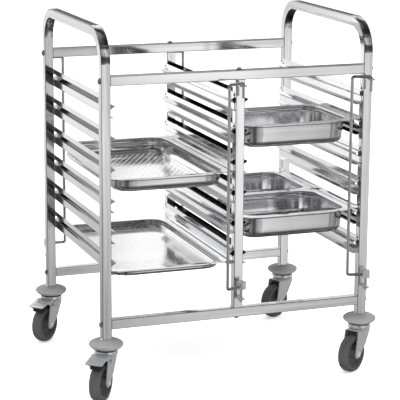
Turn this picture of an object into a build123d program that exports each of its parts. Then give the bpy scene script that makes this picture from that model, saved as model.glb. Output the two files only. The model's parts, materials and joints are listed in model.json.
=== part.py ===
from build123d import *
import math
import os

# Gastronorm tray trolley: two bays with six tray levels each, on four swivel casters.
# Millimetres. X runs to the right, Y to the back and Z up from the floor.
# Everything is laid out from the floor under the middle of the frame, and moved at the end
# so that the origin lies on the floor under the middle of the whole trolley.

# Frame of square tube, measured over its outer faces. Its width follows from the pans, and the
# heights of the legs' feet and bottom rails from the casters, so these stand with those below.
frame_depth = 560.0
handle_height = 950.0
handle_bend = 75.0
top_rail_height = 833.0
tube = 25.0
tube_wall = 1.5
tube_corner = 1.2

# Bolts and the threaded plugs in the tube ends
bolt_radius = 4.0
bolt_head_radius = 8.0
bolt_head_height = 5.5
bolt_flange = 1.8
plug_length = 20.0
plug_gap = 0.2
bolt_grip = 14.0

# Tray slides, bent from sheet: an upper tip for one tray and a lower lip for another. Each
# reaches under the tray's rim by its hold.
levels = 6
first_tip = 756.0
level_pitch = 80.65
slide_sheet = 1.0
slide_setback = 8.8
slide_corner = 4.0
web_above_tip = 19.7
tip_hold = 11.25
tip_rise = 7.0
tip_fall = 9.0
lip_drop = 30.4
lip_hold = 10.25
lip_rise = 4.5
lip_return = 4.0

# Gastronorm pans. The frame is as wide as two of them with their play, and three tubes.
gn_length = 530.0
gn_width = 325.0
gn_half = 265.0
pan_play = 7.5
frame_width = 2 * (gn_width + pan_play) + 3 * tube
pan_sheet = 0.8
shallow_fold = 0.8
rim_width = 13.0
rim_corner = 22.0
basin_corner = 40.0
basin_fold = 20.0
basin_taper = 4.0
shoulder_depth = 9.0
shoulder_step = 2.5
seat_gap = 0.3

# Stoppers: a bent rod that turns in two lugs in front of its upright
rod_radius = 4.0
rod_reach = 50.0
rod_bend = 6.0
rod_top = 803.0
rod_bottom = 270.0
rod_tail = 39.0
pin_tip = 227.0
pin_chamfer = 1.5
stopper_offset = 20.0
lug_thickness = 3.0
lug_tip = 10.0
lower_lug_height = 236.5
stopper_block_width = 19.0
stopper_block_height = 21.0
stopper_block_drop = 8.0
block_bore_end = -6.0
running_fit = 0.08

# Swivel casters, in their own frame: the stem over the origin and the wheel towards +X.
# Their heights build up from the wheel: fork, ball race, swivel head, bumper and the leg's foot.
wheel_radius = 50.0
wheel_width = 30.0
tread_shoulder = 7.0
hub_radius = 38.0
hub_rim_width = 24.0
hub_web = 10.0
hub_wall = 3.0
hub_boss_radius = 13.0
hub_boss_length = 34.0
trail = 38.0
fork_sheet = 2.5
fork_half_width = 21.0
fork_top = 2 * wheel_radius + 15.0
fork_back = trail - wheel_radius - 15.0
fork_front = trail
fork_knee = (trail - wheel_radius, wheel_radius + 29.0)
fork_shoulder = 12.0
race_radius = 28.0
race_top = fork_top + 4.0
head_radius = 30.0
head_bottom = race_top + 0.4
head_chamfer = 2.5
stem_radius = 6.0
stem_end = fork_top - 11.0
collar_radius = 16.0
plug_height = 30.0
bumper_radius = 44.0
bumper_bottom = race_top + 9.0
bumper_edge = 8.0
bumper_band = 3.0
bumper_dome = 46.0
leg_foot = bumper_bottom + 26.0
bottom_rail_height = leg_foot + 52.0
fork_bend = 6.0
arm_end_radius = 12.0
axle_radius = 4.0
sleeve_radius = 6.0
axle_head_radius = 7.0
axle_head_height = 4.5

# Brake pedals of the two left casters
pedal_pivot = (30.0, fork_top - 8.0)
pedal_pin_radius = 2.5
pedal_sheet = 2.0
pedal_start = (33.0, fork_top + 7.0)
pedal_length = 58.0
pedal_tilt = 10.5
pedal_corner = 5.0
cheek_gap = 0.5
cheek_length = 26.0
cheek_end = 6.5
pin_head_radius = 4.5
pin_head_height = 1.5
pedal_ribs = (18.0, 29.0, 40.0)
rib_length = 34.0
rib_width = 5.0
rib_height = 1.0
shoe_start = 26.0
shoe_length = 25.0
shoe_width = 26.0
shoe_gap = 0.5

# Where everything stands
leg_x = frame_width / 2 - tube / 2
leg_y = frame_depth / 2 - tube / 2
bay_half = (frame_width / 2 - tube - tube / 2) / 2
bay_centre = tube / 2 + bay_half
tip_reach = bay_half - gn_width / 2 + tip_hold
lip_reach = bay_half - gn_width / 2 + lip_hold
top_rail_z = top_rail_height - tube / 2
bottom_rail_z = bottom_rail_height - tube / 2
stopper_y = frame_depth / 2 + stopper_offset

pieces = {}


def tube_profile():
    """The section of the square tube, drawn in the sketch that is open."""
    outside = Rectangle(tube, tube)
    chamfer(outside.vertices(), tube_corner)
    Rectangle(tube - 2 * tube_wall, tube - 2 * tube_wall, mode=Mode.SUBTRACT)


# Side frames: one bent tube each, two legs joined by the push handle
for side, x in (("left", -leg_x), ("right", leg_x)):
    with BuildPart() as side_frame:
        with BuildLine(Plane.YZ.offset(x)) as centre_line:
            FilletPolyline(
                (-leg_y, leg_foot),
                (-leg_y, handle_height - tube / 2),
                (leg_y, handle_height - tube / 2),
                (leg_y, leg_foot),
                radius=handle_bend,
            )
        with BuildSketch(Plane.XY.offset(leg_foot)):
            with Locations((x, -leg_y)):
                tube_profile()
        sweep(path=centre_line.line)
        for y in (-leg_y, leg_y):
            for z in (top_rail_z, bottom_rail_z):
                with Locations(Plane(origin=(x, y, z), z_dir=(1, 0, 0))):
                    Hole(bolt_radius + running_fit)
    pieces[f"side_frame_{side}"] = side_frame.part

# Rails across the front and back, between the legs
for height, z in (("top", top_rail_z), ("bottom", bottom_rail_z)):
    for end, y in (("front", -leg_y), ("rear", leg_y)):
        with BuildPart() as rail:
            with BuildSketch(Plane(origin=(0, y, z), x_dir=(0, 1, 0), z_dir=(1, 0, 0))):
                tube_profile()
            extrude(amount=frame_width / 2 - tube, both=True)
            with Locations((0, y, z)):
                Hole(bolt_radius + running_fit)
        pieces[f"rail_{height}_{end}"] = rail.part

# Centre uprights between the rails
for end, y in (("front", -leg_y), ("rear", leg_y)):
    with BuildPart() as upright:
        with BuildSketch(Plane(origin=(0, y, bottom_rail_height))):
            tube_profile()
        extrude(amount=top_rail_height - tube - bottom_rail_height)
    pieces[f"upright_{end}"] = upright.part

# Plugs pressed into the tube ends, which the bolts screw into. The outer end is at the origin.
with BuildPart() as tube_plug:
    with BuildSketch():
        Rectangle(tube - 2 * tube_wall - 2 * plug_gap, tube - 2 * tube_wall - 2 * plug_gap)
    extrude(amount=plug_length)
    with Locations((0, 0, plug_length / 2)):
        Hole(bolt_radius + running_fit)

# Bolt with a domed flange head. The face under the head is at the origin, the shank goes up.
with BuildPart() as frame_bolt:
    with BuildSketch(Plane.XZ):
        with BuildLine():
            Polyline(
                (0, -bolt_head_height),
                (0, tube + bolt_grip),
                (bolt_radius, tube + bolt_grip),
                (bolt_radius, 0),
                (bolt_head_radius, 0),
                (bolt_head_radius, -bolt_flange),
                (bolt_head_radius / 2, -bolt_head_height),
                close=True,
            )
        make_face()
    revolve(axis=Axis.Z)

# Each joint of the frame: the place of its bolt, and the way its shank points
joints = []
for y in (-leg_y, leg_y):
    for z in (top_rail_z, bottom_rail_z):
        joints.append(((-frame_width / 2, y, z), (1, 0, 0)))
        joints.append(((frame_width / 2, y, z), (-1, 0, 0)))
    joints.append(((0, y, top_rail_height), (0, 0, -1)))
    joints.append(((0, y, bottom_rail_height - tube), (0, 0, 1)))

with BuildPart() as frame_bolts:
    for place, way in joints:
        with Locations(Plane(origin=place, z_dir=way)):
            add(frame_bolt.part)
pieces["frame_bolts"] = frame_bolts.part

with BuildPart() as tube_plugs:
    for place, way in joints:
        with Locations(Plane(origin=Vector(place) + Vector(way) * tube, x_dir=(0, 1, 0), z_dir=way)):
            add(tube_plug.part)
pieces["tube_plugs"] = tube_plugs.part

# Tray slide. X is the reach from the tube's face into the bay, and the upper tip is at height 0.
tip_slope = tip_rise / (tip_reach - slide_sheet)
lip_slope = lip_rise / (lip_reach - slide_sheet)
with BuildPart() as slide:
    with BuildSketch(Plane.XZ):
        with BuildLine():
            bay_side = Polyline(
                (slide_sheet, web_above_tip),
                (slide_sheet, tip_rise),
                (tip_reach, 0),
                (slide_sheet, -tip_fall),
                (slide_sheet, -lip_drop + lip_rise),
                (lip_reach, -lip_drop),
                (lip_return, -lip_drop),
            )
            offset(bay_side, amount=slide_sheet, side=Side.LEFT, kind=Kind.INTERSECTION)
        make_face()
    extrude(amount=frame_depth / 2 - slide_setback, both=True)
    chamfer(slide.edges().filter_by(Axis.X).group_by(Axis.Z)[-1], slide_corner)

bays = (("left", -bay_centre), ("right", bay_centre))
tips = [first_tip - level_pitch * level for level in range(levels)]
for bay, centre in bays:
    for level, tip in enumerate(tips):
        with BuildPart() as slides:
            with Locations(
                Location((centre - bay_half, 0, tip)),
                Location((centre + bay_half, 0, tip), (0, 0, 180)),
            ):
                add(slide.part)
        pieces[f"slides_{bay}_{level + 1}"] = slides.part

# Stopper lugs: plates welded to the tube's outer face, each with a hole for the rod
upper_lug_height = rod_top - rod_bend - seat_gap
with BuildPart() as stopper_lug:
    with BuildSketch():
        with Locations((0, stopper_offset / 2)):
            Rectangle(2 * lug_tip, stopper_offset)
        Circle(lug_tip)
        Circle(rod_radius + seat_gap, mode=Mode.SUBTRACT)
    extrude(amount=-lug_thickness)

# Each stopper: where its axis stands, which way its lugs face, and where its rod points
stoppers = {
    "front_centre": ((0, -stopper_y), 0, 204.0),
    "front_right": ((leg_x, -stopper_y), 0, 164.0),
    "rear_left": ((-leg_x, stopper_y), 180, -6.0),
    "rear_centre": ((0, stopper_y), 180, 0.0),
}

with BuildPart() as stopper_lugs:
    for (x, y), facing, _ in stoppers.values():
        for z in (upper_lug_height, lower_lug_height):
            with Locations(Location((x, y, z), (0, 0, facing))):
                add(stopper_lug.part)
pieces["stopper_lugs"] = stopper_lugs.part

# Stopper rod, with its axis over the origin and the long side towards +X
with BuildPart() as stopper_rod:
    with BuildLine(Plane.XZ) as rod_line:
        FilletPolyline(
            (0, rod_top - rod_tail),
            (0, rod_top),
            (rod_reach, rod_top),
            (rod_reach, rod_bottom),
            (block_bore_end, rod_bottom),
            radius=rod_bend,
        )
    with BuildSketch(Plane.XY.offset(rod_top - rod_tail)):
        Circle(rod_radius)
    sweep(path=rod_line.line)
    chamfer(stopper_rod.faces().filter_by(Axis.Z).edges(), pin_chamfer)

# Square block pressed on the rod's lower end, with the pivot pin under it
with BuildPart() as stopper_block:
    with BuildSketch(Plane.XY.offset(rod_bottom - stopper_block_drop)):
        Rectangle(stopper_block_width, stopper_block_width)
    extrude(amount=stopper_block_height)
    chamfer(stopper_block.edges().filter_by(Axis.Z), tube_corner)
    with BuildSketch(Plane.YZ.offset(stopper_block_width / 2)):
        with Locations((0, rod_bottom)):
            Circle(rod_radius + running_fit)
    extrude(amount=block_bore_end - running_fit - stopper_block_width / 2, mode=Mode.SUBTRACT)
    with BuildSketch(Plane.XY.offset(rod_bottom - stopper_block_drop)):
        Circle(rod_radius)
    extrude(amount=pin_tip - rod_bottom + stopper_block_drop)
    chamfer(stopper_block.faces().sort_by(Axis.Z)[0].edges(), pin_chamfer)

for name, ((x, y), _, turn) in stoppers.items():
    place = Location((x, y, 0), (0, 0, turn))
    pieces[f"stopper_rod_{name}"] = stopper_rod.part.moved(place)
    pieces[f"stopper_block_{name}"] = stopper_block.part.moved(place)


# Pans, each drawn from one sheet, with a shoulder under the rim that keeps stacked pans apart.
# The rim's top is at height 0.
def pressing(length, width, depth, inset):
    """A block in the shape of a pan's bowl, smaller all round by inset."""
    open_length = length - 2 * rim_width - 2 * inset
    open_width = width - 2 * rim_width - 2 * inset
    basin_depth = depth - shoulder_depth
    with BuildPart() as hollow:
        with BuildSketch():
            RectangleRounded(open_width, open_length, basin_corner + shoulder_step - inset)
        extrude(amount=inset - shoulder_depth)
        with BuildSketch(Plane.XY.offset(inset - shoulder_depth)):
            RectangleRounded(
                open_width - 2 * shoulder_step,
                open_length - 2 * shoulder_step,
                basin_corner - inset,
            )
        extrude(amount=-basin_depth, taper=basin_taper)
        floor = hollow.faces().sort_by(Axis.Z)[0]
        fillet(floor.edges(), min(basin_fold, shallow_fold * basin_depth) - inset)
    return hollow.part


def pan(length, width, depth):
    with BuildPart() as body:
        with BuildSketch(Plane.XY.offset(-pan_sheet)):
            RectangleRounded(width, length, rim_corner)
        extrude(amount=pan_sheet)
        add(pressing(length, width, depth, 0))
        add(pressing(length, width, depth, pan_sheet), mode=Mode.SUBTRACT)
    return body.part


def seat_height(level, on_lip):
    """Height of a pan's rim top where its edge rests on the slope of a slide."""
    edge_reach = bay_half - gn_width / 2
    slope = lip_slope if on_lip else tip_slope
    drop = lip_drop if on_lip else 0
    rise = (lip_reach if on_lip else tip_reach) - edge_reach
    return tips[level - 1] - drop + slope * rise + seat_gap + pan_sheet


# Each pan: size, level, whether it hangs on the lower lips, bay and the place of its middle
pans = {
    "pan_perforated_upper": (gn_length, gn_width, 40.0, 3, True, -bay_centre, -7.0),
    "pan_perforated_lower": (gn_length, gn_width, 20.0, 6, True, -bay_centre, 7.0),
    "pan_half_upper": (gn_half, gn_width, 65.0, 2, False, bay_centre, -118.0),
    "pan_half_lower_front": (gn_half, gn_width, 65.0, 5, False, bay_centre, -121.5),
    "pan_half_lower_rear": (gn_half, gn_width, 65.0, 5, False, bay_centre, 144.5),
}
for name, (length, width, depth, level, on_lip, x, y) in pans.items():
    place = Location((x, y, seat_height(level, on_lip)))
    pieces[name] = pan(length, width, depth).moved(place)

# Caster stem: the plug in the leg, the collar under the leg's end, the swivel head and the pin
with BuildPart() as caster_stem:
    with BuildSketch(Plane.XZ):
        with BuildLine():
            Polyline(
                (0, stem_end),
                (0, leg_foot + plug_height),
                (stem_radius, leg_foot + plug_height),
                (stem_radius, leg_foot),
                (collar_radius, leg_foot),
                (collar_radius, bumper_bottom),
                (head_radius - head_chamfer, bumper_bottom),
                (head_radius, bumper_bottom - head_chamfer),
                (head_radius, head_bottom),
                (stem_radius, head_bottom),
                (stem_radius, stem_end),
                close=True,
            )
        make_face()
    revolve(axis=Axis.Z)
    with BuildSketch(Plane.XY.offset(leg_foot + seat_gap)):
        Rectangle(tube - 2 * tube_wall - 2 * plug_gap, tube - 2 * tube_wall - 2 * plug_gap)
    extrude(amount=plug_height - seat_gap)

# Bumper: a soft disc between the swivel head and the leg, domed up to the leg's foot
with BuildPart() as caster_bumper:
    with BuildSketch(Plane.XZ):
        with BuildLine():
            rest = Polyline(
                (collar_radius + seat_gap, leg_foot - seat_gap),
                (collar_radius + seat_gap, bumper_bottom + seat_gap),
                (bumper_radius - bumper_edge, bumper_bottom + seat_gap),
                (bumper_radius, bumper_bottom + bumper_edge),
                (bumper_radius, bumper_bottom + bumper_edge + bumper_band),
            )
            RadiusArc(rest @ 1, rest @ 0, -bumper_dome)
        make_face()
    revolve(axis=Axis.Z)


# Fork, pressed from one sheet: a top, two arms and a closed back
def fork_solid(outline, half_width, bend):
    """A block with the fork's side view, its top and back edges rounded."""
    with BuildPart() as block:
        with BuildSketch(Plane.XZ):
            with BuildLine():
                Polyline(*outline, close=True)
            make_face()
        extrude(amount=half_width, both=True)
        bends = block.edges().filter_by(
            lambda edge: edge.center().Z > fork_knee[1]
            and edge.center().X < fork_front
            and abs(edge.center().Y) > fork_half_width / 2
        )
        fillet(bends, bend)
    return block.part


def swivel_fork(braked):
    knee_x, knee_z = fork_knee
    knee_distance = math.hypot(trail - knee_x, knee_z - wheel_radius)
    knee_angle = math.atan2(knee_z - wheel_radius, knee_x - trail)
    leave_angle = knee_angle + math.acos(arm_end_radius / knee_distance)
    arm_back = (
        trail + arm_end_radius * math.cos(leave_angle),
        wheel_radius + arm_end_radius * math.sin(leave_angle),
    )
    outside = [
        (fork_back, fork_top),
        (fork_front, fork_top),
        (trail + arm_end_radius, wheel_radius),
        arm_back,
        (knee_x, knee_z),
        (fork_back, fork_top - fork_shoulder),
    ]
    past_front = trail + 2 * arm_end_radius
    inside = [
        (fork_back + fork_sheet, fork_top - fork_sheet),
        (past_front, fork_top - fork_sheet),
        (past_front, 0),
        (knee_x + fork_sheet, 0),
        (knee_x + fork_sheet, knee_z),
        (fork_back + fork_sheet, fork_top - fork_shoulder),
    ]
    with BuildPart() as fork:
        add(fork_solid(outside, fork_half_width, fork_bend))
        with BuildSketch(Plane.XZ):
            with Locations((trail, wheel_radius)):
                Circle(arm_end_radius)
        extrude(amount=fork_half_width, both=True)
        add(
            fork_solid(inside, fork_half_width - fork_sheet, fork_bend - fork_sheet),
            mode=Mode.SUBTRACT,
        )
        with BuildSketch(Plane.XY.offset(fork_top)):
            Circle(race_radius)
        extrude(amount=race_top - fork_top)
        with BuildSketch(Plane.XY.offset(race_top)):
            Circle(stem_radius + running_fit)
        extrude(amount=-fork_sheet - (race_top - fork_top), mode=Mode.SUBTRACT)
        with BuildSketch(Plane.XZ):
            with Locations((trail, wheel_radius)):
                Circle(axle_radius + running_fit)
            if braked:
                with Locations(pedal_pivot):
                    Circle(pedal_pin_radius + running_fit)
        extrude(amount=fork_half_width, both=True, mode=Mode.SUBTRACT)
    return fork.part


# Axle: a bolt through both arms with its nut, and the sleeve that it clamps between them
with BuildPart() as axle:
    with BuildSketch(Plane.XZ):
        with Locations((trail, wheel_radius)):
            Circle(axle_radius)
    extrude(amount=fork_half_width + axle_head_height, both=True)
    with BuildSketch(Plane.XZ.offset(fork_half_width)):
        with Locations((trail, wheel_radius)):
            Circle(axle_head_radius)
    extrude(amount=axle_head_height)
    with BuildSketch(Plane.XZ.offset(-fork_half_width)):
        with Locations((trail, wheel_radius)):
            RegularPolygon(axle_head_radius, 6)
    extrude(amount=-axle_head_height)
    with BuildSketch(Plane.XZ):
        with Locations((trail, wheel_radius)):
            Circle(sleeve_radius)
            Circle(axle_radius + running_fit, mode=Mode.SUBTRACT)
    extrude(amount=fork_half_width - fork_sheet, both=True)

# Wheel: a moulded hub with a boss and a web, and the tyre around it. Both turn about the axle,
# so their sections are drawn with the distance from the axle upwards.
axle_plane = Plane(origin=(trail, 0, wheel_radius), x_dir=(0, 1, 0), z_dir=(1, 0, 0))
axle_line = Axis((trail, 0, wheel_radius), (0, 1, 0))
with BuildPart() as hub:
    with BuildSketch(axle_plane):
        with BuildLine():
            half_section = Polyline(
                (0, sleeve_radius + running_fit),
                (hub_boss_length / 2, sleeve_radius + running_fit),
                (hub_boss_length / 2, hub_boss_radius),
                (hub_web / 2, hub_boss_radius + hub_wall),
                (hub_web / 2, hub_radius - 2 * hub_wall),
                (hub_rim_width / 2, hub_radius - hub_wall),
                (hub_rim_width / 2, hub_radius),
                (0, hub_radius),
            )
            mirror(half_section, about=Plane.YZ)
        make_face()
    revolve(axis=axle_line)

with BuildPart() as tyre:
    with BuildSketch(axle_plane):
        with BuildLine():
            half_section = Polyline(
                (0, hub_radius),
                (wheel_width / 2, hub_radius),
                (wheel_width / 2, wheel_radius - tread_shoulder),
                (wheel_width / 2 - tread_shoulder / 3, wheel_radius - tread_shoulder / 3),
                (wheel_width / 2 - tread_shoulder, wheel_radius),
                (0, wheel_radius),
            )
            mirror(half_section, about=Plane.YZ)
        make_face()
    revolve(axis=axle_line)

# Brake pedal: a tilted foot plate with two cheeks, which turn on a pin through the fork
tilt = math.radians(pedal_tilt)
pedal_plane = Plane(
    origin=(pedal_start[0], 0, pedal_start[1]),
    x_dir=(math.cos(tilt), 0, -math.sin(tilt)),
    z_dir=(math.sin(tilt), 0, math.cos(tilt)),
)
cheek_inside = fork_half_width + cheek_gap
pedal_width = 2 * (cheek_inside + pedal_sheet)


def under_pedal(along):
    """A point of the side view on the underside of the foot plate."""
    point = pedal_plane.from_local_coords((along, 0, -pedal_sheet))
    return (point.X, point.Z)


with BuildPart() as pedal:
    with BuildSketch(pedal_plane):
        with Locations((pedal_length / 2, 0)):
            Rectangle(pedal_length, pedal_width)
    extrude(amount=-pedal_sheet)
    upright_edges = pedal.edges().filter_by(Axis((0, 0, 0), tuple(pedal_plane.z_dir)))
    fillet(upright_edges.sort_by(Axis.X)[-2:], pedal_corner)
    with BuildSketch(pedal_plane):
        with Locations(*[(along, 0) for along in pedal_ribs]):
            SlotOverall(rib_length, rib_width, rotation=90)
    extrude(amount=rib_height)
    for side in (-1, 1):
        with BuildSketch(Plane.XZ.offset(side * cheek_inside)):
            with BuildLine():
                Polyline(
                    under_pedal(0),
                    under_pedal(cheek_length),
                    (pedal_pivot[0] + cheek_end, pedal_pivot[1] - cheek_end / 2),
                    (pedal_pivot[0] - cheek_end / 2, pedal_pivot[1] - cheek_end / 2),
                    close=True,
                )
            make_face()
            with Locations(pedal_pivot):
                Circle(cheek_end)
                Circle(pedal_pin_radius + running_fit, mode=Mode.SUBTRACT)
        extrude(amount=side * pedal_sheet)

with BuildPart() as pedal_pin:
    with BuildSketch(Plane.XZ):
        with Locations(pedal_pivot):
            Circle(pedal_pin_radius)
    pin_half = cheek_inside + pedal_sheet + cheek_gap
    extrude(amount=pin_half + pin_head_height, both=True)
    for side in (-1, 1):
        with BuildSketch(Plane.XZ.offset(side * pin_half)):
            with Locations(pedal_pivot):
                Circle(pin_head_radius)
        extrude(amount=side * pin_head_height)

# Brake shoe: a rubber block under the pedal, hollowed to the tread
with BuildPart() as brake_shoe:
    with BuildSketch(Plane.XZ):
        with BuildLine():
            Polyline(
                under_pedal(shoe_start),
                under_pedal(shoe_start + shoe_length),
                (under_pedal(shoe_start + shoe_length)[0], wheel_radius),
                (under_pedal(shoe_start)[0], wheel_radius),
                close=True,
            )
        make_face()
        with Locations((trail, wheel_radius)):
            Circle(wheel_radius + shoe_gap, mode=Mode.SUBTRACT)
    extrude(amount=shoe_width / 2, both=True)

# The four casters: where the stem stands, how far the wheel has swivelled, and if it has a brake
casters = {
    "front_left": ((-leg_x, -leg_y), -128.5, True),
    "rear_left": ((-leg_x, leg_y), -135.6, True),
    "front_right": ((leg_x, -leg_y), -145.0, False),
    "rear_right": ((leg_x, leg_y), -150.0, False),
}
with BuildPart() as caster_stems:
    with Locations(*[spot for spot, _, _ in casters.values()]):
        add(caster_stem.part)
pieces["caster_stems"] = caster_stems.part

with BuildPart() as caster_bumpers:
    with Locations(*[spot for spot, _, _ in casters.values()]):
        add(caster_bumper.part)
pieces["caster_bumpers"] = caster_bumpers.part

for name, ((x, y), turn, braked) in casters.items():
    place = Location((x, y, 0), (0, 0, turn))
    pieces[f"fork_{name}"] = swivel_fork(braked).moved(place)
    pieces[f"axle_{name}"] = axle.part.moved(place)
    pieces[f"hub_{name}"] = hub.part.moved(place)
    pieces[f"tyre_{name}"] = tyre.part.moved(place)
    if braked:
        pieces[f"pedal_{name}"] = pedal.part.moved(place)
        pieces[f"pedal_pin_{name}"] = pedal_pin.part.moved(place)
        pieces[f"brake_shoe_{name}"] = brake_shoe.part.moved(place)

# The origin goes to the floor under the middle of the whole trolley
boxes = [piece.bounding_box() for piece in pieces.values()]
middle_x = (min(box.min.X for box in boxes) + max(box.max.X for box in boxes)) / 2
middle_y = (min(box.min.Y for box in boxes) + max(box.max.Y for box in boxes)) / 2
shift = (-middle_x, -middle_y, -min(box.min.Z for box in boxes))

os.makedirs("parts", exist_ok=True)
for name, piece in pieces.items():
    finished = piece.moved(Location(shift))
    finished.label = name
    export_step(finished, f"parts/{name}.step")
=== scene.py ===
import bpy
import bmesh
import json
import math
from mathutils import Matrix, Vector


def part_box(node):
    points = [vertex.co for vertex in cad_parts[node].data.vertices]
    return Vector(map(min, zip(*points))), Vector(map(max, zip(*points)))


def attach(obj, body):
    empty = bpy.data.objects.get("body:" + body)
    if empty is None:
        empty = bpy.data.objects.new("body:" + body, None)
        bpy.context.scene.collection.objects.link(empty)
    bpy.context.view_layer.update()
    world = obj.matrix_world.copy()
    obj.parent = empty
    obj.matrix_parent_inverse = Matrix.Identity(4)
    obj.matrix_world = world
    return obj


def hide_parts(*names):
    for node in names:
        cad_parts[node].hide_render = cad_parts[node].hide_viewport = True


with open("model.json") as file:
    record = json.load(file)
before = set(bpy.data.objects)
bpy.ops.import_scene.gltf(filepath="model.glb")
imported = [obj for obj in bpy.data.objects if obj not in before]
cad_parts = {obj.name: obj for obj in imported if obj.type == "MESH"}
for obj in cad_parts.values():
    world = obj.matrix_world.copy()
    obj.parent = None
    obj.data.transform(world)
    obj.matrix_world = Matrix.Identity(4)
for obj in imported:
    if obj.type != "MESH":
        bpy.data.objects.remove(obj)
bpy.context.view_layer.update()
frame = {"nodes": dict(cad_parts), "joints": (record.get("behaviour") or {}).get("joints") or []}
nodes = frame["nodes"]

# Frame. Two side frames, four rails and two uprights of square stainless tube, polished along
# their length. Each side frame is one tube bent over at the top, so its bend is the push handle.
# The rails butt against the legs and are bolted through from outside.
tube_shine = 0.1
tube_edge = 0.0009
handle_bend = 0.905


def polished_steel(name, colour, roughness, grain, waviness, metal=1.0, bent_at=None, bite=0.04):
    """Polished stainless steel. Grain is how closely its fine lines lie along X, Y and Z.

    Bite is how deep those lines are, and waviness how much the sheet or tube swells. A tube bent
    over at a height, bent_at, has the lines of its level part along Y.
    """
    least_polished = 0.93
    line_depth = 0.0002
    swell_depth = 0.002
    steel = bpy.data.materials.new(name)
    steel.use_nodes = True
    tree = steel.node_tree
    shader = tree.nodes["Principled BSDF"]
    shader.inputs["Metallic"].default_value = metal
    shader.inputs["Specular IOR Level"].default_value = 0.6
    place = tree.nodes.new("ShaderNodeTexCoord")

    # Slow changes of tone, as left by the polishing wheel
    cloud = tree.nodes.new("ShaderNodeTexNoise")
    cloud.inputs["Scale"].default_value = 9.0
    cloud.inputs["Detail"].default_value = 3.0
    tree.links.new(place.outputs["Object"], cloud.inputs["Vector"])
    tone = tree.nodes.new("ShaderNodeValToRGB")
    tone.color_ramp.elements[0].position = 0.3
    tone.color_ramp.elements[0].color = [least_polished * part for part in colour] + [1.0]
    tone.color_ramp.elements[1].position = 0.7
    tone.color_ramp.elements[1].color = list(colour) + [1.0]
    tree.links.new(cloud.outputs["Fac"], tone.inputs["Fac"])
    tree.links.new(tone.outputs["Color"], shader.inputs["Base Color"])

    # Fine polishing lines in the gloss and in the surface
    stretch = tree.nodes.new("ShaderNodeMapping")
    stretch.inputs["Scale"].default_value = grain
    tree.links.new(place.outputs["Object"], stretch.inputs["Vector"])
    along = stretch.outputs["Vector"]
    if bent_at:
        bend_length = 0.03
        level_part = tree.nodes.new("ShaderNodeMapping")
        level_part.inputs["Scale"].default_value = (grain[0], grain[2], grain[1])
        tree.links.new(place.outputs["Object"], level_part.inputs["Vector"])
        up = tree.nodes.new("ShaderNodeSeparateXYZ")
        tree.links.new(place.outputs["Object"], up.inputs["Vector"])
        bend = tree.nodes.new("ShaderNodeMapRange")
        bend.inputs["From Min"].default_value = bent_at
        bend.inputs["From Max"].default_value = bent_at + bend_length
        tree.links.new(up.outputs["Z"], bend.inputs["Value"])
        both = tree.nodes.new("ShaderNodeMix")
        both.data_type = "VECTOR"
        tree.links.new(bend.outputs["Result"], both.inputs["Factor"])
        tree.links.new(along, both.inputs["A"])
        tree.links.new(level_part.outputs["Vector"], both.inputs["B"])
        along = both.outputs["Result"]
    lines = tree.nodes.new("ShaderNodeTexNoise")
    lines.inputs["Scale"].default_value = 1.0
    lines.inputs["Detail"].default_value = 4.0
    tree.links.new(along, lines.inputs["Vector"])
    gloss = tree.nodes.new("ShaderNodeMapRange")
    gloss.inputs["To Min"].default_value = 0.8 * roughness
    gloss.inputs["To Max"].default_value = 1.3 * roughness
    tree.links.new(lines.outputs["Fac"], gloss.inputs["Value"])
    tree.links.new(gloss.outputs["Result"], shader.inputs["Roughness"])
    scratches = tree.nodes.new("ShaderNodeBump")
    scratches.inputs["Strength"].default_value = bite
    scratches.inputs["Distance"].default_value = line_depth
    tree.links.new(lines.outputs["Fac"], scratches.inputs["Height"])

    # The long, very shallow waves that break up reflections in rolled sheet and tube
    swell = tree.nodes.new("ShaderNodeTexNoise")
    swell.inputs["Scale"].default_value = 0.06
    swell.inputs["Detail"].default_value = 1.0
    tree.links.new(along, swell.inputs["Vector"])
    waves = tree.nodes.new("ShaderNodeBump")
    waves.inputs["Strength"].default_value = waviness
    waves.inputs["Distance"].default_value = swell_depth
    tree.links.new(swell.outputs["Fac"], waves.inputs["Height"])
    tree.links.new(scratches.outputs["Normal"], waves.inputs["Normal"])
    tree.links.new(waves.outputs["Normal"], shader.inputs["Normal"])
    return steel


def finish_node(node, material):
    """Gives a node that stays as it is its material, on every face."""
    for place in nodes[node].material_slots:
        place.material = material


def ease_edges(node, radius):
    """Rounds the edges that a press brake, a bender or a file leaves, and keeps flats flat."""
    seam_gap = 0.00001
    softest_edge = 25
    weld = nodes[node].modifiers.new("seam", "WELD")
    weld.merge_threshold = seam_gap
    edge = nodes[node].modifiers.new("edge", "BEVEL")
    edge.width = radius
    edge.segments = 2
    edge.limit_method = "ANGLE"
    edge.angle_limit = math.radians(softest_edge)
    edge.harden_normals = True


steel_white = (0.83, 0.83, 0.84)
upright_lines = (900, 900, 40)
level_lines = (40, 900, 900)
tube_swell = 0.15
leg_steel = polished_steel("leg_steel", steel_white, tube_shine, upright_lines, tube_swell)
handle_steel = polished_steel(
    "handle_steel", steel_white, tube_shine, upright_lines, tube_swell, bent_at=handle_bend
)
rail_steel = polished_steel("rail_steel", steel_white, tube_shine, level_lines, tube_swell)
for side in ("left", "right"):
    finish_node(f"side_frame_{side}", handle_steel)
    ease_edges(f"side_frame_{side}", tube_edge)
for end in ("front", "rear"):
    finish_node(f"upright_{end}", leg_steel)
    ease_edges(f"upright_{end}", tube_edge)
    for height in ("top", "bottom"):
        finish_node(f"rail_{height}_{end}", rail_steel)
        ease_edges(f"rail_{height}_{end}", tube_edge)

# Frame bolts. Stainless bolts with a domed flange head, screwed through the legs into threaded
# plugs of moulded plastic that are driven into the ends of the rails and uprights.
even_lines = (300, 300, 300)
bolt_steel = polished_steel("bolt_steel", (0.7, 0.7, 0.71), 0.2, even_lines, 0.0)
finish_node("frame_bolts", bolt_steel)


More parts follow.
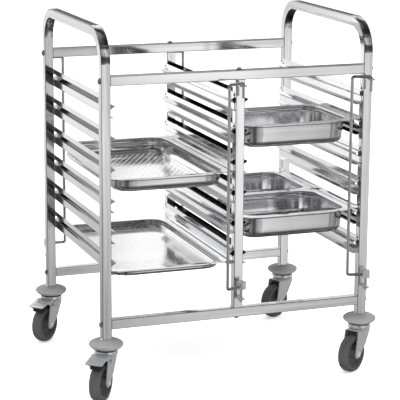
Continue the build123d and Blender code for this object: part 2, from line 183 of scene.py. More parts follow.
def moulded_plastic(name, colour, roughness, grain_size):
    """Moulded plastic or rubber with the fine even grain of its mould, of a grain size in metres."""
    darkest = 0.86
    grain_depth = 0.0002
    plastic = bpy.data.materials.new(name)
    plastic.use_nodes = True
    tree = plastic.node_tree
    shader = tree.nodes["Principled BSDF"]
    shader.inputs["Specular IOR Level"].default_value = 0.4
    place = tree.nodes.new("ShaderNodeTexCoord")
    cloud = tree.nodes.new("ShaderNodeTexNoise")
    cloud.inputs["Scale"].default_value = 35.0
    cloud.inputs["Detail"].default_value = 5.0
    tree.links.new(place.outputs["Object"], cloud.inputs["Vector"])
    tone = tree.nodes.new("ShaderNodeValToRGB")
    tone.color_ramp.elements[0].position = 0.35
    tone.color_ramp.elements[0].color = [darkest * part for part in colour] + [1.0]
    tone.color_ramp.elements[1].position = 0.68
    tone.color_ramp.elements[1].color = list(colour) + [1.0]
    tree.links.new(cloud.outputs["Fac"], tone.inputs["Fac"])
    tree.links.new(tone.outputs["Color"], shader.inputs["Base Color"])
    gloss = tree.nodes.new("ShaderNodeMapRange")
    gloss.inputs["To Min"].default_value = 0.85 * roughness
    gloss.inputs["To Max"].default_value = min(1.0, 1.2 * roughness)
    tree.links.new(cloud.outputs["Fac"], gloss.inputs["Value"])
    tree.links.new(gloss.outputs["Result"], shader.inputs["Roughness"])
    grain = tree.nodes.new("ShaderNodeTexVoronoi")
    grain.inputs["Scale"].default_value = 1.0 / grain_size
    tree.links.new(place.outputs["Object"], grain.inputs["Vector"])
    skin = tree.nodes.new("ShaderNodeBump")
    skin.inputs["Strength"].default_value = 0.25
    skin.inputs["Distance"].default_value = grain_depth
    tree.links.new(grain.outputs["Distance"], skin.inputs["Height"])
    tree.links.new(skin.outputs["Normal"], shader.inputs["Normal"])
    return plastic


finish_node("tube_plugs", moulded_plastic("plug_plastic", (0.75, 0.75, 0.74), 0.5, 0.0008))

# Tray slides. Bright stainless sheet, folded so that each slide carries one tray on its upper
# slope and another on its lower lip. The web above the upper slope is riveted to the tube.
rivet_steel = polished_steel("rivet_steel", (0.5, 0.5, 0.51), 0.28, even_lines, 0.0)
rivet_radius = 0.0028
rivet_height = 0.0016
rivet_below_top = 0.0075
rivet_sink = 0.001
rivet_sides = 16
dome_steps = 4
slide_edge = 0.0003
levels = range(1, 7)


def slide_steel(bay, middle, upright_middle):
    """The steel of one bay's slides, bright outside, with painted shade in its colour.

    That is in the hollow under each slope, and between the slides of two bays, back to back. A
    face is told by how far it looks towards its tube, from 0, not at all, to 1, straight at it,
    and by its distance from the middle of the upright.
    """
    slope_look = 0.5
    slope_spread = 0.35
    web_look = 0.9
    back_to_back = 0.0128
    inner_slide = 0.08
    # Greys of painted shade, for the hollow under each slope and between back-to-back slides
    hollow_painted_shade = 0.38
    between_painted_shade = 0.16
    steel = polished_steel(f"slide_steel_{bay}", (0.86, 0.86, 0.87), 0.1, (900, 10, 900), 0.12)
    tree = steel.node_tree
    shader = tree.nodes["Principled BSDF"]

    def worked(operation, first, second, third=0.0):
        """The result of one step of sums on numbers and outputs."""
        node = tree.nodes.new("ShaderNodeMath")
        node.operation = operation
        for socket, value in zip(node.inputs, (first, second, third)):
            if isinstance(value, (int, float)):
                socket.default_value = value
            else:
                tree.links.new(value, socket)
        return node.outputs["Value"]

    place = tree.nodes.new("ShaderNodeTexCoord")
    spot = tree.nodes.new("ShaderNodeSeparateXYZ")
    tree.links.new(place.outputs["Object"], spot.inputs["Vector"])
    surface = tree.nodes.new("ShaderNodeNewGeometry")
    facing = tree.nodes.new("ShaderNodeSeparateXYZ")
    tree.links.new(surface.outputs["True Normal"], facing.inputs["Vector"])
    side = worked("SIGN", worked("SUBTRACT", spot.outputs["X"], middle), 0.0)
    to_tube = worked("MULTIPLY", side, facing.outputs["X"])
    hollow = worked("COMPARE", to_tube, slope_look, slope_spread)
    near = worked("COMPARE", spot.outputs["X"], upright_middle, back_to_back)
    back = worked("MULTIPLY", near, worked("GREATER_THAN", to_tube, web_look))
    inner = worked("COMPARE", spot.outputs["X"], upright_middle, inner_slide)
    between = worked("MAXIMUM", back, worked("MULTIPLY", inner, hollow))
    # Paints shade into the base colour: darker in the hollows, darkest between back-to-back slides
    for where, grey in ((hollow, hollow_painted_shade), (between, between_painted_shade)):
        darker = tree.nodes.new("ShaderNodeMix")
        darker.data_type = "RGBA"
        tree.links.new(where, darker.inputs["Factor"])
        tree.links.new(shader.inputs["Base Color"].links[0].from_socket, darker.inputs["A"])
        darker.inputs["B"].default_value = (grey, grey, grey, 1.0)
        tree.links.new(darker.outputs["Result"], shader.inputs["Base Color"])
    return steel


def piece_from(name, shape, material):
    """A new object from a bmesh, with its material, in the scene."""
    mesh = bpy.data.meshes.new(name)
    bmesh.ops.recalc_face_normals(shape, faces=shape.faces)
    shape.to_mesh(mesh)
    shape.free()
    for face in mesh.polygons:
        face.use_smooth = True
    mesh.materials.append(material)
    piece = bpy.data.objects.new(name, mesh)
    bpy.context.scene.collection.objects.link(piece)
    return piece


def turn(shape, profile, place, steps):
    """Turns a profile of (radius, height) points about the Z axis of place, into shape.

    A profile that starts or ends at radius 0 is closed there, and a profile that ends where it
    starts makes a ring.
    """
    ring = profile[0] == profile[-1]
    rows = []
    for radius, height in profile[:-1] if ring else profile:
        if radius == 0:
            rows.append([shape.verts.new(place @ Vector((0, 0, height)))])
            continue
        row = []
        for step in range(steps):
            angle = 2 * math.pi * step / steps
            spot = Vector((radius * math.cos(angle), radius * math.sin(angle), height))
            row.append(shape.verts.new(place @ spot))
        rows.append(row)
    pairs = list(zip(rows, rows[1:] + rows[:1] if ring else rows[1:]))
    for low, high in pairs:
        for step in range(steps):
            after = (step + 1) % steps
            corners = [
                low[step % len(low)],
                low[after % len(low)],
                high[after % len(high)],
                high[step % len(high)],
            ]
            corners = list(dict.fromkeys(corners))
            if len(corners) > 2:
                shape.faces.new(corners)


leg_low, leg_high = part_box("upright_front")
rear_low, rear_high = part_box("upright_rear")
for bay in ("left", "right"):
    low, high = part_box(f"slides_{bay}_1")
    steel = slide_steel(bay, (low.x + high.x) / 2, (leg_low.x + leg_high.x) / 2)
    for level in levels:
        slide = f"slides_{bay}_{level}"
        finish_node(slide, steel)
        ease_edges(slide, slide_edge)
        low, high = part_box(slide)
        rivets = bmesh.new()
        for y in ((leg_low.y + leg_high.y) / 2, (rear_low.y + rear_high.y) / 2):
            for x, way in ((low.x + rivet_sink, 1), (high.x - rivet_sink, -1)):
                place = (
                    Matrix.Translation((x, y, high.z - rivet_below_top))
                    @ Matrix.Rotation(math.radians(90 * way), 4, "Y")
                )
                dome = [(rivet_radius, 0.0), (rivet_radius, rivet_height / 3)]
                for step in range(1, dome_steps + 1):
                    angle = math.radians(90 * step / dome_steps)
                    dome.append(
                        (
                            rivet_radius * math.cos(angle) if step < dome_steps else 0,
                            rivet_height / 3 + rivet_height * 2 / 3 * math.sin(angle),
                        )
                    )
                turn(rivets, dome, place, rivet_sides)
        heads = piece_from(f"rivets_{bay}_{level}", rivets, rivet_steel)
        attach(heads, "frame")

# Stoppers. A polished rod bent from round bar, held in a square block below and turning in two
# plates that are welded to the tube. Swung aside, it frees the trays behind it.
rod_steel = polished_steel("rod_steel", (0.8, 0.8, 0.81), 0.1, (600, 600, 20), 0.02)
block_steel = polished_steel("block_steel", (0.86, 0.86, 0.87), 0.2, upright_lines, 0.03, 0.85)
plate_edge = 0.0004
block_edge = 0.0005
finish_node("stopper_lugs", block_steel)
ease_edges("stopper_lugs", plate_edge)
for stopper in ("front_centre", "front_right", "rear_left", "rear_centre"):
    finish_node(f"stopper_rod_{stopper}", rod_steel)
    finish_node(f"stopper_block_{stopper}", block_steel)
    ease_edges(f"stopper_block_{stopper}", block_edge)

# Pans. Each is drawn from one stainless sheet, with a flat rim and a shoulder below it that keeps
# stacked pans apart. The two long pans have floors full of round holes in offset rows, wide apart
# and running across in the upper one, close together and running lengthways in the lower one.
sheet = 0.0008
rim_corner = 0.022
mouth_corner = 0.048
rim_lip = 0.0014
lip_run = 0.012
shoulder_drop = 0.009
deepest_fold = 0.0192
fold_share = 0.8
fold_steps = 10
corner_steps = 14
corner_span = 1.21
corner_fullness = 2.5
hole_sides = 12
floor_border = 0.006
floor_ring = 0.008
crease = 40
drawn_lines = (300, 30, 300)
pan_steel = polished_steel(
    "pan_steel", (0.96, 0.96, 0.97), 0.1, drawn_lines, 0.0, metal=0.95, bite=0.01
)
drained_steel = polished_steel(
    "drained_steel", (0.98, 0.98, 0.98), 0.1, drawn_lines, 0.0, metal=0.95, bite=0.01
)

# How far the wall leans from upright, in degrees, in steps from the shoulder down to the fold
wall_leans = (2.5, 3.0, 3.8, 4.8, 6.2)

# The rim and shoulder, as (inset from the pan's edge, corner radius, depth below the rim)
rim_rows = [
    (0.0, rim_corner, 0.001),
    (0.0001, rim_corner, 0.0004),
    (0.0006, rim_corner - 0.0005, 0.0),
    (0.0009, rim_corner - 0.0008, 0.0),
    (0.0102, mouth_corner + 0.0037, 0.0),
    (0.0105, mouth_corner + 0.0034, 0.0),
    (0.0121, mouth_corner + 0.0018, 0.0003),
    (0.0132, mouth_corner + 0.0007, 0.0011),
    (0.0137, mouth_corner + 0.0002, 0.0024),
    (0.0139, mouth_corner, 0.0044),
    (0.0141, mouth_corner - 0.0002, 0.008),
    (0.0143, mouth_corner - 0.0004, 0.0086),
    (0.0148, mouth_corner - 0.0009, 0.0094),
    (0.015, mouth_corner - 0.0011, 0.0102),
]

# The distance between the holes of a row, their radius, and whether the rows run lengthways
holes = {"perforated_upper": (0.016, 0.0035, False), "perforated_lower": (0.00855, 0.0023, True)}


def rounded_row(shape, middle, half_x, half_y, corner, z):
    """A closed row of points around a rectangle whose corners run softly into its sides."""
    span = corner_span * corner
    row = []
    for quarter, (way_x, way_y) in enumerate(((1, 1), (-1, 1), (-1, -1), (1, -1))):
        for step in range(corner_steps + 1):
            share = step / corner_steps if quarter % 2 == 0 else 1 - step / corner_steps
            angle = math.radians(90 * share)
            out_x = span * max(0.0, math.cos(angle)) ** (2 / corner_fullness)
            out_y = span * math.sin(angle) ** (2 / corner_fullness)
            x = middle.x + way_x * (half_x - span + out_x)
            y = middle.y + way_y * (half_y - span + out_y)
            row.append(shape.verts.new((x, y, z)))
    return row


def join_rows(shape, first, second):
    """Faces between two closed rows with as many points."""
    for step in range(len(first)):
        after = (step + 1) % len(first)
        shape.faces.new((first[step], first[after], second[after], second[step]))


def holed_floor(shape, middle, half_x, half_y, z, pitch, hole, lengthways):
    """A flat rectangle full of holes in offset rows. Gives back the points of its outline."""
    row_step = pitch * math.sqrt(3) / 2
    half_row, half_stack = (half_y, half_x) if lengthways else (half_x, half_y)
    columns = int(half_row / pitch) * 2
    rows = int(half_stack / row_step) * 2

    def spot(along, across):
        if lengthways:
            return (middle.x + across, middle.y + along, z)
        return (middle.x + along, middle.y + across, z)

    points = {}

    def point(column, row):
        if (column, row) not in points:
            place = spot((column - columns) * pitch / 2, (row - rows / 2) * row_step)
            points[column, row] = shape.verts.new(place)
        return points[column, row]

    for row in range(rows):
        start = row % 2
        if start:
            for column in (0, 2 * columns - 1):
                shape.faces.new(
                    (
                        point(column, row),
                        point(column + 1, row),
                        point(column + 1, row + 1),
                        point(column, row + 1),
                    )
                )
        for column in range(start, 2 * columns - start, 2):
            outline = [
                point(column + 2, row),
                point(column + 2, row + 1),
                point(column + 1, row + 1),
                point(column, row + 1),
                point(column, row),
                point(column + 1, row),
            ]
            along = (column + 1 - columns) * pitch / 2
            across = (row + 0.5 - rows / 2) * row_step
            edge = []
            for step in range(hole_sides):
                angle = math.radians(-30 + 360 * step / hole_sides)
                place = spot(along + hole * math.cos(angle), across + hole * math.sin(angle))
                edge.append(shape.verts.new(place))
            share = hole_sides // 6
            for side in range(6):
                arc = [edge[(side * share + step) % hole_sides] for step in range(share + 1)]
                shape.faces.new([outline[side], outline[(side + 1) % 6]] + arc[::-1])
    lower = [points[column, 0] for column in range(2 * columns + 1) if (column, 0) in points]
    upper = [points[column, rows] for column in range(2 * columns + 1) if (column, rows) in points]
    left = [points[0, row] for row in range(1, rows)]
    right = [points[2 * columns, row] for row in range(1, rows)]
    return lower + right + upper[::-1] + left[::-1]


def thicken(piece, thickness):
    """Gives a surface the thickness of its sheet, on the side away from its normals."""
    wall = piece.modifiers.new("sheet", "SOLIDIFY")
    wall.thickness = thickness
    wall.offset = -1.0
    ready = piece.evaluated_get(bpy.context.evaluated_depsgraph_get())
    mesh = bpy.data.meshes.new_from_object(ready)
    piece.modifiers.clear()
    piece.data = mesh
    mesh.set_sharp_from_angle(angle=math.radians(crease))


for pan in (
    "perforated_upper",
    "perforated_lower",
    "half_upper",
    "half_lower_front",
    "half_lower_rear",
):
    low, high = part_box(f"pan_{pan}")
    middle = (low + high) / 2
    half = (high - low) / 2
    floor_depth = high.z - low.z - sheet
    fold = min(deepest_fold + sheet, fold_share * (high.z - low.z - shoulder_drop)) - sheet
    rows = list(rim_rows)
    wall_top, wall_corner, drop = rows[-1]
    inset = wall_top
    last_lean = math.radians(wall_leans[-1])
    wall_end = floor_depth - fold * (1 - math.sin(last_lean))
    part = (wall_end - drop) / len(wall_leans)
    for lean in wall_leans:
        inset += part * math.tan(math.radians(lean))
        drop += part
        rows.append((inset, wall_corner - (inset - wall_top), drop))
    centre = inset + fold * math.cos(last_lean)
    for step in range(1, fold_steps + 1):
        angle = last_lean + (math.pi / 2 - last_lean) * step / fold_steps
        inset = centre - fold * math.cos(angle)
        drop = floor_depth - fold * (1 - math.sin(angle))
        rows.append((inset, wall_corner - (inset - wall_top), drop))
    shape = bmesh.new()
    made = [
        rounded_row(shape, middle, half.x - inset, half.y - inset, corner, high.z - drop)
        for inset, corner, drop in rows
    ]
    for point in made[0]:
        from_end = half.y - abs(point.co.y - middle.y)
        point.co.z -= rim_lip * max(0.0, 1 - from_end / lip_run)
    for first, second in zip(made, made[1:]):
        join_rows(shape, first, second)
    inset, corner, drop = rows[-1]
    if pan in holes:
        pitch, hole, lengthways = holes[pan]
        outline = holed_floor(
            shape,
            middle,
            half.x - inset - floor_border,
            half.y - inset - floor_border,
            high.z - drop,
            pitch,
            hole,
            lengthways,
        )
        edges = []
        for row in (made[-1], outline):
            for one, other in zip(row, row[1:] + row[:1]):
                edges.append(shape.edges.get((one, other)) or shape.edges.new((one, other)))
        bmesh.ops.triangle_fill(shape, use_beauty=True, edges=edges)
    else:
        inner = rounded_row(
            shape,
            middle,
            half.x - inset - floor_ring,
            half.y - inset - floor_ring,
            corner - floor_ring,
            high.z - drop,
        )
        join_rows(shape, made[-1], inner)
        shape.faces.new(inner)
    steel = drained_steel if pan in holes else pan_steel
    pressed = piece_from(f"pressed_{pan}", shape, steel)
    if max(pressed.data.polygons, key=lambda face: face.area).normal.z < 0:
        pressed.data.flip_normals()
    thicken(pressed, sheet)
    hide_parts(f"pan_{pan}")
    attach(pressed, f"pan_{pan}")
    finish_node(f"pan_{pan}", steel)

# Caster heads. A steel stem with a swivel head is fixed in each leg, and the fork turns under it on
# a ring of balls. A soft grey bumper lies over the head, and a near-black rubber ring fills the gap
# between the two, as painted shade of that gap.
head_steel = polished_steel("head_steel", (0.9, 0.9, 0.91), 0.17, (60, 60, 900), 0.02, metal=0.8)
bumper_rubber = moulded_plastic("bumper_rubber", (0.27, 0.27, 0.27), 0.5, 0.0009)
black_rubber = moulded_plastic("shoe_rubber", (0.012, 0.012, 0.012), 0.6, 0.0008)
lathe_steps = 64
large_steps = 96
lathe_edge = 35

# Sections of the pieces around the stem, as (radius, height above the floor)
bumper_section = [
    (0.0163, 0.1298),
    (0.0285, 0.1298),
    (0.0325, 0.1303),
    (0.0362, 0.1316),
    (0.0394, 0.1337),
    (0.0418, 0.1362),
    (0.0433, 0.1388),
    (0.044, 0.1412),
    (0.0437, 0.143),
    (0.0424, 0.145),
    (0.0402, 0.1468),
    (0.0368, 0.1487),
    (0.0326, 0.1504),
    (0.0275, 0.1519),
    (0.0215, 0.1531),
    (0.0163, 0.1537),
    (0.0163, 0.1298),
]
gap_shade_section = [
    (0.0262, 0.1264),
    (0.0296, 0.1264),
    (0.03, 0.127),
    (0.03, 0.1292),
    (0.0294, 0.1298),
    (0.0262, 0.1298),
    (0.0262, 0.1264),
]
race_section = [
    (0.0283, 0.1156),
    (0.0296, 0.116),
    (0.0303, 0.117),
    (0.0303, 0.1186),
    (0.0298, 0.1193),
    (0.0283, 0.1193),
    (0.0283, 0.1156),
]


def spun(name, sections, places, material, body, steps=lathe_steps):
    """Pieces turned on a lathe about the Z axes of their places, as one that rides on a body."""
    shape = bmesh.new()
    for place in places:
        for section in sections:
            turn(shape, section, place, steps)
    piece = piece_from(name, shape, material)
    piece.data.set_sharp_from_angle(angle=math.radians(lathe_edge))
    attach(piece, body)
    return piece


finish_node("caster_stems", head_steel)
joints = {joint["name"]: joint for joint in frame["joints"]}
casters = ("front_left", "rear_left", "front_right", "rear_right")
stems = {}
for caster in casters:
    stem = joints[f"caster_swivel_{caster}"]["pos_m"]
    stems[caster] = Matrix.Translation((stem[0], stem[1], 0))
at_stems = list(stems.values())
bumpers = spun(
    "bumpers", [bumper_section], at_stems, bumper_rubber, "frame", large_steps
)
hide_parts("caster_bumpers")
finish_node("caster_bumpers", bumper_rubber)
# Near-black rings in the gap under the bumpers, as painted shade
spun("gap_shade_rings", [gap_shade_section], at_stems, black_rubber, "frame")
spun("ball_races", [race_section], at_stems, head_steel, "frame")

# Wheels. A dished hub moulded in dark grey plastic, with a grey rubber tyre moulded round it. The
# hub turns on the axle's sleeve, between two steel washers inside the fork.
hub_plastic = moulded_plastic("hub_plastic", (0.065, 0.065, 0.068), 0.5, 0.0007)
tyre_rubber = moulded_plastic("tyre_rubber", (0.072, 0.071, 0.071), 0.45, 0.0008)
washer_steps = 40

# Half sections of the wheel and the section of a washer, as (radius, distance from its middle)
tyre_half = [
    (0.038, 0.0),
    (0.038, 0.0128),
    (0.0384, 0.0132),
    (0.0412, 0.0137),
    (0.0432, 0.014),
    (0.0436, 0.0146),
    (0.0442, 0.015),
    (0.0452, 0.015),
    (0.0459, 0.0145),
    (0.0462, 0.0136),
    (0.0474, 0.0122),
    (0.0487, 0.0098),
    (0.0496, 0.0067),
    (0.05, 0.0036),
    (0.05, 0.0007),
    (0.0498, 0.0004),
    (0.0498, 0.0),
]
hub_half = [
    (0.0061, 0.0),
    (0.0061, 0.017),
    (0.0078, 0.017),
    (0.0082, 0.0163),
    (0.0096, 0.0163),
    (0.01, 0.0169),
    (0.0118, 0.0169),
    (0.0128, 0.0161),
    (0.0131, 0.012),
    (0.015, 0.0062),
    (0.0162, 0.0052),
    (0.0236, 0.005),
    (0.024, 0.0043),
    (0.0262, 0.0043),
    (0.0266, 0.005),
    (0.0306, 0.0053),
    (0.0326, 0.008),
    (0.0342, 0.0114),
    (0.035, 0.012),
    (0.0372, 0.012),
    (0.0378, 0.0115),
    (0.0378, 0.0),
]
washer_section = [
    (0.0044, 0.021),
    (0.0084, 0.021),
    (0.0088, 0.0213),
    (0.0088, 0.022),
    (0.0084, 0.0223),
    (0.0044, 0.0223),
    (0.0044, 0.021),
]


def both_halves(half):
    """A ring's whole section from half of it, drawn from the bore's middle to the rim's."""
    return half + [(radius, -out) for radius, out in reversed(half[:-1])]


for caster in casters:
    roll = joints[f"wheel_roll_{caster}"]
    axle = Vector(roll["axis"]).normalized().to_track_quat("Z", "Y").to_matrix().to_4x4()
    wheel_place = Matrix.Translation(roll["pos_m"]) @ axle
    wheel = f"wheel_{caster}"
    tyre = spun(
        f"moulded_tyre_{caster}",
        [both_halves(tyre_half)],
        [wheel_place],
        tyre_rubber,
        wheel,
        large_steps,
    )
    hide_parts(f"tyre_{caster}")
    finish_node(f"tyre_{caster}", tyre_rubber)
    hub = spun(
        f"moulded_hub_{caster}", [both_halves(hub_half)], [wheel_place], hub_plastic, wheel
    )
    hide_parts(f"hub_{caster}")
    finish_node(f"hub_{caster}", hub_plastic)
    spun(
        f"washers_{caster}",
        [washer_section, [(radius, -out) for radius, out in washer_section]],
        [wheel_place],
        head_steel,
        f"swivel_{caster}",
        washer_steps,
    )

# Forks and axles. Each fork is pressed from one zinc-plated sheet and turns under its swivel head.
# The axle is a steel bolt through its arms, with a nut and the sleeve that the wheel turns on.
zinc = polished_steel("zinc", (0.72, 0.73, 0.74), 0.28, (240, 240, 240), 0.1, metal=0.78)
axle_steel = polished_steel("axle_steel", (0.8, 0.8, 0.81), 0.24, even_lines, 0.0, metal=0.6)
pressed_edge = 0.0004
nut_edge = 0.0005
for caster in casters:
    finish_node(f"fork_{caster}", zinc)
    ease_edges(f"fork_{caster}", pressed_edge)
    finish_node(f"axle_{caster}", axle_steel)
    ease_edges(f"axle_{caster}", nut_edge)

# Brakes. The two casters on the left have a pedal pressed from zinc-plated sheet, on a pin through
# the fork. Under it are a rubber shoe, hollowed to the tread, and a rubber tip near its end.
pedal_slope = math.radians(10.5)
pedal_start = (0.033, 0.122)
pedal_sheet = 0.002
tread_gap = 0.0005
tread_radius = 0.05
axle_height = 0.05
trail = 0.038
shoe_start = 0.026
shoe_end = 0.048
shoe_half = 0.013
shoe_height = 0.016
shoe_edge = 0.0012
hollow_end = 0.0665
hollow_steps = 8
tip_along = 0.0535
tip_aside = -0.0105
tip_below = 0.0042
tip_steps = 24
tip_section = [(0, 0.0), (0.0022, 0.0), (0.003, 0.0006), (0.0033, 0.0018), (0.0033, 0.0046)]


def under_pedal(along):
    """A point of the side view on the underside of the pedal, so far along it."""
    return (
        pedal_start[0] + along * math.cos(pedal_slope) - pedal_sheet * math.sin(pedal_slope),
        pedal_start[1] - along * math.sin(pedal_slope) - pedal_sheet * math.cos(pedal_slope),
    )


for caster in ("front_left", "rear_left"):
    finish_node(f"pedal_{caster}", zinc)
    ease_edges(f"pedal_{caster}", pressed_edge)
    finish_node(f"pedal_pin_{caster}", bolt_steel)
    finish_node(f"brake_shoe_{caster}", black_rubber)
    stem = stems[caster]
    trail_way = Vector(joints[f"wheel_roll_{caster}"]["pos_m"]) - stem.translation
    side_view = stem @ Matrix.Rotation(math.atan2(trail_way.y, trail_way.x), 4, "Z")
    start = under_pedal(shoe_start)
    end = under_pedal(shoe_end)
    outline = [start, end, (end[0], end[1] - shoe_height)]
    for step in range(hollow_steps + 1):
        x = hollow_end + (start[0] - hollow_end) * step / hollow_steps
        reach = tread_radius + tread_gap
        outline.append((x, axle_height + math.sqrt(reach**2 - (x - trail) ** 2)))
    shape = bmesh.new()
    sides = []
    for y in (-shoe_half, shoe_half):
        sides.append([shape.verts.new(side_view @ Vector((x, y, z))) for x, z in outline])
    join_rows(shape, sides[0], sides[1])
    shape.faces.new(sides[0])
    shape.faces.new(sides[1][::-1])
    shoe = piece_from(f"rubber_shoe_{caster}", shape, black_rubber)
    corners = shoe.modifiers.new("corners", "BEVEL")
    corners.width = shoe_edge
    corners.segments = 3
    corners.limit_method = "ANGLE"
    corners.angle_limit = math.radians(crease)
    corners.harden_normals = True
    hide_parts(f"brake_shoe_{caster}")
    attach(shoe, f"brake_{caster}")
    tip = under_pedal(tip_along)
    tip_place = side_view @ Matrix.Translation((tip[0], tip_aside, tip[1] - tip_below))
    spun(
        f"pedal_tip_{caster}",
        [tip_section],
        [tip_place],
        black_rubber,
        f"brake_{caster}",
        tip_steps,
    )

# Studio. A pale floor in soft light. The steel mirrors a room of greys, with pale bands low down
# and part way up, dark overhead, and screens of different tones standing all round it.
floor_tone = (0.92, 0.92, 0.92, 1.0)
floor_size = 30
floor_mesh = bpy.data.meshes.new("floor")
floor_shape = bmesh.new()
bmesh.ops.create_grid(floor_shape, x_segments=1, y_segments=1, size=floor_size)
floor_shape.to_mesh(floor_mesh)
floor_shape.free()
floor = bpy.data.objects.new("floor", floor_mesh)
bpy.context.scene.collection.objects.link(floor)
floor.visible_glossy = False
paper = bpy.data.materials.new("paper")
paper.use_nodes = True
surface = paper.node_tree.nodes["Principled BSDF"]
surface.inputs["Base Color"].default_value = floor_tone
surface.inputs["Roughness"].default_value = 0.9
surface.inputs["Specular IOR Level"].default_value = 0.0
surface.inputs["Emission Color"].default_value = floor_tone
surface.inputs["Emission Strength"].default_value = 0.4
floor_mesh.materials.append(paper)

room = bpy.data.worlds.new("room")
bpy.context.scene.world = room
room.use_nodes = True
tree = room.node_tree
backdrop = tree.nodes["Background"]
backdrop.inputs["Color"].default_value = (1.0, 1.0, 1.0, 1.0)
backdrop.inputs["Strength"].default_value = 1.08
way = tree.nodes.new("ShaderNodeTexCoord")
split = tree.nodes.new("ShaderNodeSeparateXYZ")
tree.links.new(way.outputs["Generated"], split.inputs["Vector"])


def tones(tree, value, stops):
    """A row of greys over a value from 0 to 1, as (value, grey) pairs."""
    ramp = tree.nodes.new("ShaderNodeValToRGB")
    while len(ramp.color_ramp.elements) < len(stops):
        ramp.color_ramp.elements.new(1.0)
    for element, (spot, grey) in zip(ramp.color_ramp.elements, stops):
        element.position = spot
        element.color = (grey, grey, grey, 1.0)
    tree.links.new(value, ramp.inputs["Fac"])
    return ramp.outputs["Color"]


def by_elevation(greys):
    """The same greys given by degrees above the horizon."""
    return [((math.sin(math.radians(angle)) + 1) / 2, grey) for angle, grey in greys]


def by_azimuth(greys):
    """The same greys given by degrees from +X, counted towards +Y, from -180 to 180."""
    return [((angle + 180) / 360, grey) for angle, grey in greys]


height = tree.nodes.new("ShaderNodeMapRange")
height.inputs["From Min"].default_value = -1.0
height.inputs["From Max"].default_value = 1.0
tree.links.new(split.outputs["Z"], height.inputs["Value"])
front_tones = tones(
    tree,
    height.outputs["Result"],
    by_elevation(
        (
            (-90, 0.02),
            (-45, 0.03),
            (-34, 0.2),
            (-26, 0.52),
            (-21, 0.55),
            (-17, 0.43),
            (-13, 0.76),
            (-8, 0.84),
            (-5, 0.4),
            (-3, 0.15),
            (6, 0.06),
            (13, 0.09),
            (18, 0.5),
            (36, 0.6),
            (45, 0.05),
            (64, 0.03),
            (76, 0.3),
            (86, 0.5),
        )
    ),
)
rear_tones = tones(
    tree,
    height.outputs["Result"],
    by_elevation(
        (
            (-90, 0.02),
            (-42, 0.04),
            (-25, 0.25),
            (-17, 0.34),
            (-13, 0.64),
            (-9, 0.95),
            (-4, 0.6),
            (0, 0.2),
            (8, 0.1),
            (10.5, 0.5),
            (12.5, 0.85),
            (38, 0.8),
            (47, 0.2),
            (56, 0.04),
            (64, 0.03),
            (76, 0.3),
            (86, 0.5),
        )
    ),
)
turn_round = tree.nodes.new("ShaderNodeTexGradient")
turn_round.gradient_type = "RADIAL"
tree.links.new(way.outputs["Generated"], turn_round.inputs["Vector"])
side_tones = tones(
    tree,
    turn_round.outputs["Fac"],
    by_azimuth(
        (
            (-180, 0.3),
            (-150, 0.42),
            (-130, 0.3),
            (-118, 0.04),
            (-102, 0.04),
            (-93, 0.4),
            (-84, 0.45),
            (-77, 0.62),
            (-73, 0.78),
            (-69, 1.0),
            (-66, 0.9),
            (-63, 0.55),
            (-45, 0.4),
            (-30, 0.12),
            (-14, 0.45),
            (14, 0.5),
            (35, 0.7),
            (52, 0.8),
            (60, 0.5),
            (66, 0.7),
            (72, 1.0),
            (118, 1.0),
            (130, 0.5),
            (146, 0.8),
            (160, 0.2),
        )
    ),
)
streaks = tree.nodes.new("ShaderNodeTexNoise")
streaks.noise_dimensions = "1D"
streaks.inputs["Scale"].default_value = 90.0
streaks.inputs["Detail"].default_value = 2.0
tree.links.new(turn_round.outputs["Fac"], streaks.inputs["W"])
streaked = tones(tree, streaks.outputs["Fac"], ((0.32, 0.6), (0.5, 1.0)))
behind = tree.nodes.new("ShaderNodeMapRange")
behind.interpolation_type = "SMOOTHSTEP"
behind.inputs["From Min"].default_value = -0.25
behind.inputs["From Max"].default_value = 0.25
tree.links.new(split.outputs["Y"], behind.inputs["Value"])


def mixed(tree, blend, amount, below, above):
    """Two greys mixed, by an amount or by the output that gives it."""
    mix = tree.nodes.new("ShaderNodeMix")
    mix.data_type = "RGBA"
    mix.blend_type = blend
    if isinstance(amount, float):
        mix.inputs["Factor"].default_value = amount
    else:
        tree.links.new(amount, mix.inputs["Factor"])
    tree.links.new(below, mix.inputs["A"])
    tree.links.new(above, mix.inputs["B"])
    return mix.outputs["Result"]


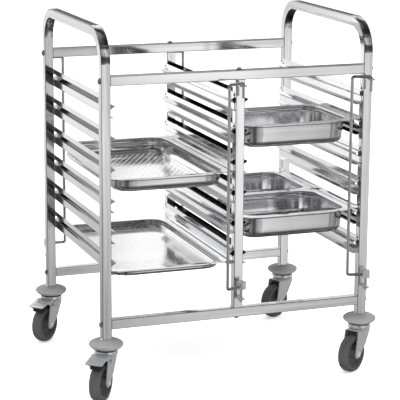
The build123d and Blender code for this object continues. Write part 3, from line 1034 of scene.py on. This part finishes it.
whole_room = mixed(tree, "MIX", behind.outputs["Result"], front_tones, rear_tones)
screened = mixed(tree, "MULTIPLY", 1.0, whole_room, side_tones)
mirrored = tree.nodes.new("ShaderNodeBackground")
mirrored.inputs["Strength"].default_value = 1.5
tree.links.new(mixed(tree, "MULTIPLY", 1.0, screened, streaked), mirrored.inputs["Color"])
seen = tree.nodes.new("ShaderNodeLightPath")
choice = tree.nodes.new("ShaderNodeMixShader")
tree.links.new(seen.outputs["Is Glossy Ray"], choice.inputs["Fac"])
tree.links.new(backdrop.outputs["Background"], choice.inputs[1])
tree.links.new(mirrored.outputs["Background"], choice.inputs[2])
tree.links.new(choice.outputs["Shader"], tree.nodes["World Output"].inputs["Surface"])
room.cycles.sampling_method = "NONE"


def softbox(name, place, aim, width, height, power):
    """A large rectangular lamp that faces aim, and that the steel doesn't mirror."""
    lamp = bpy.data.lights.new(name, "AREA")
    lamp.shape = "RECTANGLE"
    lamp.size = width
    lamp.size_y = height
    lamp.energy = power
    body = bpy.data.objects.new(name, lamp)
    body.location = place
    body.rotation_euler = (aim - Vector(place)).to_track_quat("-Z", "Y").to_euler()
    body.visible_glossy = False
    bpy.context.scene.collection.objects.link(body)


lit_point = Vector((0, 0, 0.45))
softbox("key", (-2.2, -3.0, 3.4), lit_point, 2.5, 2.5, 70)
softbox("overhead", (0.3, 0.2, 3.6), lit_point, 5.0, 5.0, 90)

# Camera. It looks down a little from the front left, from far off, as for a catalogue picture. Its
# place was solved from the corners of the tubes, so that they fall where the photograph has them.
azimuth = math.radians(-20.21)
elevation = math.radians(12.86)
camera_roll = math.radians(0.37)
camera_distance = 4.614
lens_for_frame = 151.6
aim_height = 0.435
aim_aside = -0.0051
front_low, front_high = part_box("rail_bottom_front")
back_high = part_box("rail_bottom_rear")[1]
aim = Vector(
    ((front_low.x + front_high.x) / 2 + aim_aside, (front_low.y + back_high.y) / 2, aim_height)
)
back = Vector(
    (
        math.sin(azimuth) * math.cos(elevation),
        -math.cos(azimuth) * math.cos(elevation),
        math.sin(elevation),
    )
)
lens = bpy.data.cameras.new("camera")
lens.sensor_width = 36.0
lens.lens = lens_for_frame
lens.clip_end = 100.0
camera = bpy.data.objects.new("camera", lens)
camera.location = aim + camera_distance * back
level = (-back).to_track_quat("-Z", "Y").to_matrix().to_4x4()
camera.rotation_euler = (level @ Matrix.Rotation(camera_roll, 4, "Z")).to_euler()
bpy.context.scene.collection.objects.link(camera)
bpy.context.scene.camera = camera
bpy.context.scene.view_settings.view_transform = "Standard"
